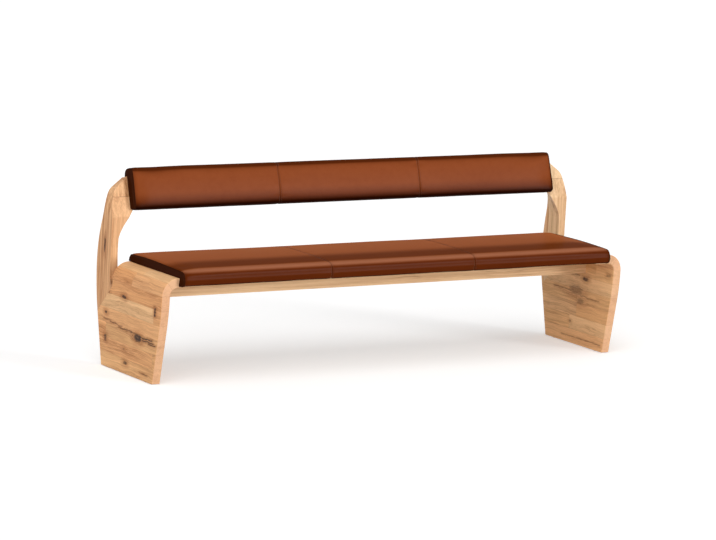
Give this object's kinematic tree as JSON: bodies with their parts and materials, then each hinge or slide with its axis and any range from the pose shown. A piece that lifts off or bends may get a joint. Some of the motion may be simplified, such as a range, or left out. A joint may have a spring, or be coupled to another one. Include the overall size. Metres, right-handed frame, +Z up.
{
  "type": "upholstered dining bench",
  "caption": "Solid oak dining bench with bent slab legs, curved arms, a leather seat with a front lip and a leaning padded leather back.",
  "frame": {"origin": "on the floor, midway between the two ends and midway between the seat's lip and the rearmost line of the legs", "axes": "+X along the bench to the right of a viewer who faces its front, +Y from the front to the rear, +Z up"},
  "size_m": [2.4, 0.608, 0.8658],
  "materials": {
    "oak_staves": "oiled knotty oak",
    "oak_arms": "oiled oak, upright grain",
    "oak_rails": "oiled oak, grain along the bench",
    "seat_leather": "semi-aniline cognac leather",
    "back_leather": "semi-aniline cognac leather",
    "plywood": "raw birch plywood",
    "zinc_steel": "zinc plated",
    "beech_dowel": "raw fluted beech",
    "felt": "pressed felt"
  },
  "bodies": {
    "root": {"arm_bolts": "zinc_steel", "back_board": "plywood", "back_cushion": "back_leather", "back_rear_cover": "back_leather", "back_roll_core": "plywood", "batten_screws": "zinc_steel", "bracket_screws": "zinc_steel", "cross_batten_1": "oak_rails", "cross_batten_2": "oak_rails", "cross_batten_3": "oak_rails", "cross_batten_4": "oak_rails", "front_rail": "oak_rails", "left_arm": "oak_arms", "left_arm_dowels": "beech_dowel", "left_corner_dowels": "beech_dowel", "left_felt_glides": "felt", "left_front_bracket": "zinc_steel", "left_leg_corner": "oak_staves", "left_leg_stave_1": "oak_staves", "left_leg_stave_2": "oak_staves", "left_leg_stave_3": "oak_staves", "left_leg_stave_4": "oak_staves", "left_leg_stave_5": "oak_staves", "left_leg_stave_6": "oak_staves", "left_leg_wing": "oak_staves", "left_rear_bracket": "zinc_steel", "rear_rail": "oak_rails", "right_arm": "oak_arms", "right_arm_dowels": "beech_dowel", "right_corner_dowels": "beech_dowel", "right_felt_glides": "felt", "right_front_bracket": "zinc_steel", "right_leg_corner": "oak_staves", "right_leg_stave_1": "oak_staves", "right_leg_stave_2": "oak_staves", "right_leg_stave_3": "oak_staves", "right_leg_stave_4": "oak_staves", "right_leg_stave_5": "oak_staves", "right_leg_stave_6": "oak_staves", "right_leg_wing": "oak_staves", "right_rear_bracket": "zinc_steel", "seat_board": "plywood", "seat_cushion": "seat_leather", "seat_nose_batten": "oak_rails", "seat_screws": "zinc_steel"}
  },
  "joints": []
}
